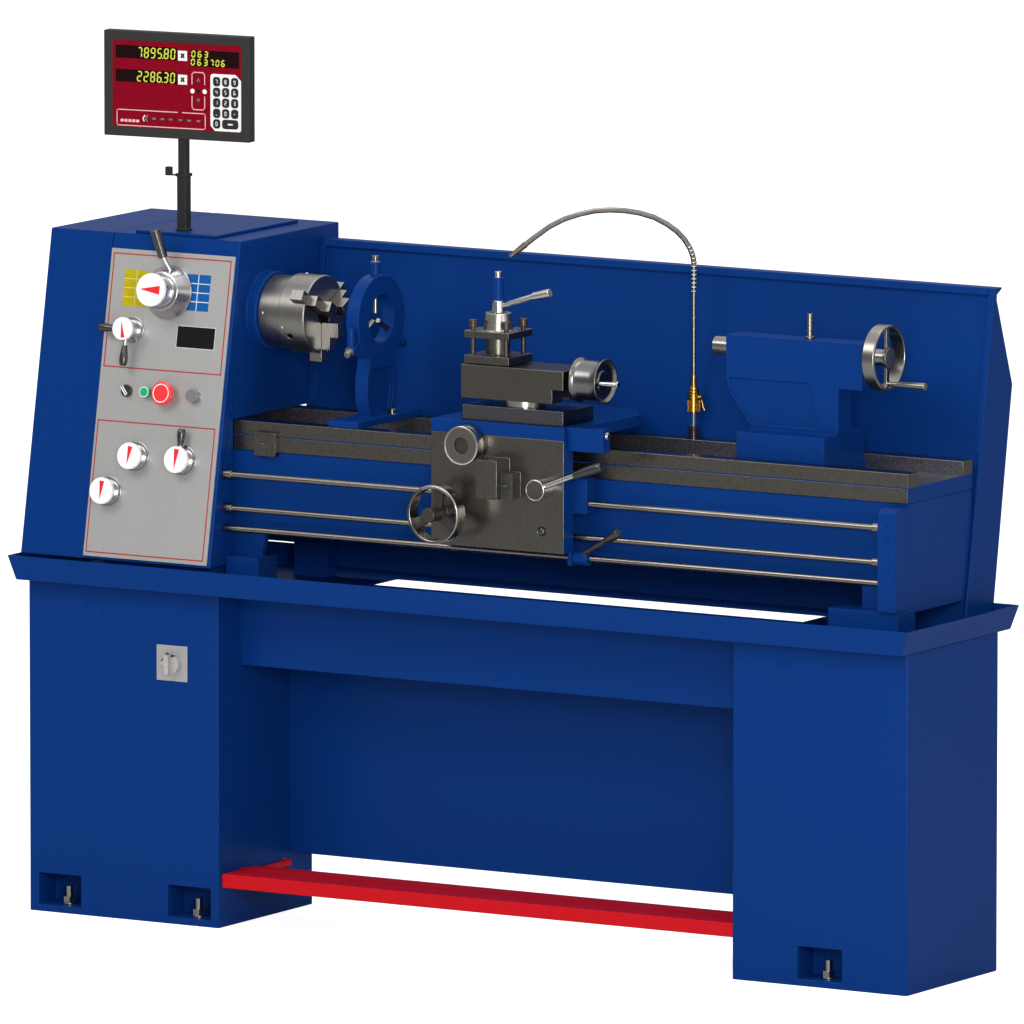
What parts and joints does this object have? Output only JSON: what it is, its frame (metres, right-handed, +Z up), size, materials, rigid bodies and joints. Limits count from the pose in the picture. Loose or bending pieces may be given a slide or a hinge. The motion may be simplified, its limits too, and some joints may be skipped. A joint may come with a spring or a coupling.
{
  "type": "engine lathe",
  "caption": "Engine lathe on a sheet-metal stand with chip tray, geared headstock, three-jaw chuck, carriage with compound slide, steady rest, tailstock and digital readout.",
  "frame": {"origin": "on the floor, below the middle of the machine's overall length and depth", "axes": "+X along the bed from headstock to tailstock, +Y from the operator's side to the back, +Z up"},
  "size_m": [1.912, 0.5496, 1.6355],
  "materials": {
    "painted_blue": "gloss",
    "painted_red": "gloss",
    "panel_grey": "satin",
    "ground_steel": "satin",
    "bright_steel": "bright",
    "chrome": "polished",
    "black": "satin",
    "green": "gloss",
    "red_plastic": "gloss",
    "belt_rubber": "matte",
    "valve_brass": "satin"
  },
  "bodies": {
    "machine": {"left_cabinet": "painted_blue", "right_cabinet": "painted_blue", "chip_tray": "painted_blue", "front_valance": "painted_blue", "rear_panel": "painted_blue", "anchor_bolts": "bright_steel", "isolator_plate": "panel_grey", "motor": "painted_blue", "drive_belts": "belt_rubber", "bed": "painted_blue", "rod_bracket": "painted_blue", "headstock": "painted_blue", "headstock_lid": "painted_blue", "control_panel": "panel_grey", "spindle_bearings": "bright_steel", "backsplash": "painted_blue", "readout_post": "black"},
    "carriage": {"saddle": "painted_blue", "apron": "ground_steel", "coolant_valve": "valve_brass", "coolant_pipe": "bright_steel"},
    "spindle": {"spindle": "bright_steel", "chuck_body": "bright_steel"},
    "brake_pedal": {"brake_pedal": "painted_red"},
    "isolator_knob": {"isolator_knob": "panel_grey"},
    "motor_pulley": {"motor_pulley": "bright_steel"},
    "input_shaft": {"input_shaft": "bright_steel"},
    "chuck_jaw_1": {"chuck_jaw_1": "bright_steel"},
    "chuck_jaw_2": {"chuck_jaw_2": "bright_steel"},
    "chuck_jaw_3": {"chuck_jaw_3": "bright_steel"},
    "leadscrew": {"leadscrew": "bright_steel"},
    "feed_rod": {"feed_rod": "bright_steel"},
    "control_rod": {"control_rod": "bright_steel"},
    "carriage_stop": {"carriage_stop": "ground_steel"},
    "gear_cover": {"gear_cover": "painted_blue"},
    "speed_lever": {"speed_lever": "chrome"},
    "range_lever": {"range_lever": "chrome"},
    "thread_knob": {"thread_knob": "chrome"},
    "feed_knob": {"feed_knob": "chrome"},
    "gear_knob": {"gear_knob": "chrome"},
    "start_button": {"start_button": "green"},
    "stop_button": {"stop_button": "red_plastic"},
    "mode_switch": {"mode_switch": "black"},
    "carriage_wheel": {"carriage_wheel": "bright_steel"},
    "cross_dial": {"cross_dial": "bright_steel"},
    "feed_lever": {"feed_lever": "bright_steel"},
    "start_lever": {"start_lever": "chrome"},
    "cross_slide": {"cross_slide": "ground_steel"},
    "top_slide_base": {"top_slide_base": "ground_steel"},
    "top_slide": {"top_slide": "ground_steel"},
    "top_slide_crank": {"top_slide_crank": "bright_steel"},
    "tool_post": {"tool_post": "ground_steel"},
    "post_lever": {"post_lever": "chrome"},
    "tailstock": {"tailstock": "painted_blue"},
    "quill": {"quill": "bright_steel"},
    "tailstock_wheel": {"tailstock_wheel": "bright_steel"},
    "quill_lock": {"quill_lock": "chrome"},
    "steady_rest": {"steady_rest": "painted_blue"},
    "valve_lever": {"valve_lever": "valve_brass"},
    "readout_case": {"readout_case": "black"}
  },
  "joints": [
    {"name": "pedal_pivot", "type": "hinge", "parent": "machine", "child": "brake_pedal", "pos_m": [0, 0.0612, 0.095], "axis": [1, 0, 0], "range_deg": [0, 8], "stiffness_Nm_per_rad": 40, "springref_deg": -17.19},
    {"name": "isolator_turn", "type": "hinge", "parent": "machine", "child": "isolator_knob", "pos_m": [-0.622, -0.1688, 0.486], "axis": [0, 1, 0], "range_deg": [0, 90]},
    {"name": "spindle_turn", "type": "hinge", "parent": "machine", "child": "spindle", "pos_m": [-0.5, 0.0052, 1.128], "axis": [1, 0, 0], "continuous": true},
    {"name": "input_turn", "type": "hinge", "parent": "machine", "child": "input_shaft", "pos_m": [-0.8, 0.0852, 1.00755], "axis": [1, 0, 0], "continuous": true},
    {"name": "motor_turn", "type": "hinge", "parent": "machine", "child": "motor_pulley", "pos_m": [-0.86, 0.0672, 0.3], "axis": [1, 0, 0], "continuous": true},
    {"name": "jaw_1_slide", "type": "slide", "parent": "spindle", "child": "chuck_jaw_1", "axis": [0, 0, -1], "range_m": [-0.001, 0.012]},
    {"name": "jaw_2_slide", "type": "slide", "parent": "spindle", "child": "chuck_jaw_2", "axis": [0, 0.866, 0.5], "range_m": [-0.001, 0.012]},
    {"name": "jaw_3_slide", "type": "slide", "parent": "spindle", "child": "chuck_jaw_3", "axis": [0, -0.866, 0.5], "range_m": [-0.001, 0.012]},
    {"name": "leadscrew_turn", "type": "hinge", "parent": "machine", "child": "leadscrew", "pos_m": [0, -0.1468, 0.842], "axis": [1, 0, 0], "continuous": true},
    {"name": "feed_rod_turn", "type": "hinge", "parent": "machine", "child": "feed_rod", "pos_m": [0, -0.1468, 0.7795], "axis": [1, 0, 0], "continuous": true},
    {"name": "control_rod_turn", "type": "hinge", "parent": "machine", "child": "control_rod", "pos_m": [0, -0.1468, 0.742], "axis": [1, 0, 0], "range_deg": [-12.5, 12.5]},
    {"name": "stop_slide", "type": "slide", "parent": "machine", "child": "carriage_stop", "axis": [1, 0, 0], "range_m": [-0.03, 0.18]},
    {"name": "cover_hinge", "type": "hinge", "parent": "machine", "child": "gear_cover", "pos_m": [-0.8005, 0.2668, 1.1], "axis": [0, 0, 1], "range_deg": [-95, 0]},
    {"name": "speed_lever_turn", "type": "hinge", "parent": "machine", "child": "speed_lever", "pos_m": [-0.664, -0.10548, 1.16313], "axis": [0, -0.9833, 0.1822], "range_deg": [-60, 60]},
    {"name": "range_lever_turn", "type": "hinge", "parent": "machine", "child": "range_lever", "pos_m": [-0.736, -0.11897, 1.09037], "axis": [0, -0.9833, 0.1822], "range_deg": [-60, 60]},
    {"name": "thread_knob_turn", "type": "hinge", "parent": "machine", "child": "thread_knob", "pos_m": [-0.601, -0.16125, 0.86225], "axis": [0, -0.9833, 0.1822], "range_deg": [-60, 60]},
    {"name": "feed_knob_turn", "type": "hinge", "parent": "machine", "child": "feed_knob", "pos_m": [-0.7025, -0.16125, 0.86225], "axis": [0, -0.9833, 0.1822], "range_deg": [-60, 60]},
    {"name": "gear_knob_turn", "type": "hinge", "parent": "machine", "child": "gear_knob", "pos_m": [-0.755, -0.17364, 0.79539], "axis": [0, -0.9833, 0.1822], "range_deg": [-60, 60]},
    {"name": "mode_switch_turn", "type": "hinge", "parent": "machine", "child": "mode_switch", "pos_m": [-0.735, -0.13947, 0.97975], "axis": [0, -0.9833, 0.1822], "range_deg": [-45, 45]},
    {"name": "start_button_press", "type": "slide", "parent": "machine", "child": "start_button", "axis": [0, 0.9833, -0.1822], "range_m": [0, 0.004], "stiffness_N_per_m": 400, "springref_m": -0.006},
    {"name": "stop_button_press", "type": "slide", "parent": "machine", "child": "stop_button", "axis": [0, 0.9833, -0.1822], "range_m": [0, 0.004], "stiffness_N_per_m": 400, "springref_m": -0.006},
    {"name": "carriage_slide", "type": "slide", "parent": "machine", "child": "carriage", "axis": [1, 0, 0], "range_m": [-0.15, 0.2]},
    {"name": "carriage_wheel_turn", "type": "hinge", "parent": "carriage", "child": "carriage_wheel", "pos_m": [-0.0085, -0.2588, 0.8166], "axis": [0, 1, 0], "range_deg": [-2161, 2881]},
    {"name": "cross_dial_turn", "type": "hinge", "parent": "carriage", "child": "cross_dial", "pos_m": [0.0275, -0.2088, 0.9405], "axis": [0, 1, 0], "range_deg": [-901, 8101]},
    {"name": "feed_lever_turn", "type": "hinge", "parent": "carriage", "child": "feed_lever", "pos_m": [0.187, -0.2148, 0.871], "axis": [0, 1, 0], "range_deg": [-25, 40]},
    {"name": "start_lever_turn", "type": "hinge", "parent": "carriage", "child": "start_lever", "pos_m": [0.242, -0.1468, 0.742], "axis": [1, 0, 0], "range_deg": [-12, 12]},
    {"name": "valve_lever_turn", "type": "hinge", "parent": "carriage", "child": "valve_lever", "pos_m": [0.324, 0.1352, 1.009], "axis": [1, 0, 0], "range_deg": [-90, 0]},
    {"name": "cross_slide_move", "type": "slide", "parent": "carriage", "child": "cross_slide", "axis": [0, 1, 0], "range_m": [-0.01, 0.09]},
    {"name": "top_slide_swivel", "type": "hinge", "parent": "cross_slide", "child": "top_slide_base", "pos_m": [0.112, -0.1318, 1.01], "axis": [0, 0, 1], "range_deg": [-45, 45]},
    {"name": "top_slide_move", "type": "slide", "parent": "top_slide_base", "child": "top_slide", "axis": [1, 0, 0], "range_m": [-0.04, 0.03]},
    {"name": "top_slide_crank_turn", "type": "hinge", "parent": "top_slide", "child": "top_slide_crank", "pos_m": [0.226, -0.1318, 1.0655], "axis": [1, 0, 0], "range_deg": [-3601, 2701]},
    {"name": "tool_post_turn", "type": "hinge", "parent": "top_slide", "child": "tool_post", "pos_m": [0.055, -0.1318, 1.11], "axis": [0, 0, 1], "range_deg": [-90, 90]},
    {"name": "post_lever_turn", "type": "hinge", "parent": "top_slide", "child": "post_lever", "pos_m": [0.055, -0.1318, 1.19], "axis": [0, 0, 1], "range_deg": [-60, 90]},
    {"name": "tailstock_slide", "type": "slide", "parent": "machine", "child": "tailstock", "axis": [1, 0, 0], "range_m": [-0.2, 0.19]},
    {"name": "quill_slide", "type": "slide", "parent": "tailstock", "child": "quill", "axis": [-1, 0, 0], "range_m": [0, 0.1]},
    {"name": "tailstock_wheel_turn", "type": "hinge", "parent": "tailstock", "child": "tailstock_wheel", "pos_m": [0.77, 0.0052, 1.128], "axis": [1, 0, 0], "range_deg": [-7201, 1]},
    {"name": "quill_lock_turn", "type": "hinge", "parent": "tailstock", "child": "quill_lock", "pos_m": [0.6295, 0.0052, 1.15], "axis": [0, 0, 1], "range_deg": [-60, 60]},
    {"name": "steady_slide", "type": "slide", "parent": "machine", "child": "steady_rest", "axis": [1, 0, 0], "range_m": [-0.03, 0.025]},
    {"name": "readout_swivel", "type": "hinge", "parent": "machine", "child": "readout_case", "pos_m": [-0.677, -0.0378, 1.4405], "axis": [0, 0, 1], "range_deg": [-45, 45]}
  ],
  "couplings": [
    {"joint": "input_turn", "follows": "spindle_turn", "ratio": -2},
    {"joint": "motor_turn", "follows": "spindle_turn", "ratio": -4},
    {"joint": "jaw_2_slide", "follows": "jaw_1_slide", "ratio": 1},
    {"joint": "jaw_3_slide", "follows": "jaw_1_slide", "ratio": 1},
    {"joint": "control_rod_turn", "follows": "start_lever_turn", "ratio": 1},
    {"joint": "carriage_wheel_turn", "follows": "carriage_slide", "rad_per_m": 251.33},
    {"joint": "cross_dial_turn", "follows": "cross_slide_move", "rad_per_m": 1570.8},
    {"joint": "top_slide_crank_turn", "follows": "top_slide_move", "rad_per_m": 1570.8},
    {"joint": "tailstock_wheel_turn", "follows": "quill_slide", "rad_per_m": -1256.6}
  ]
}
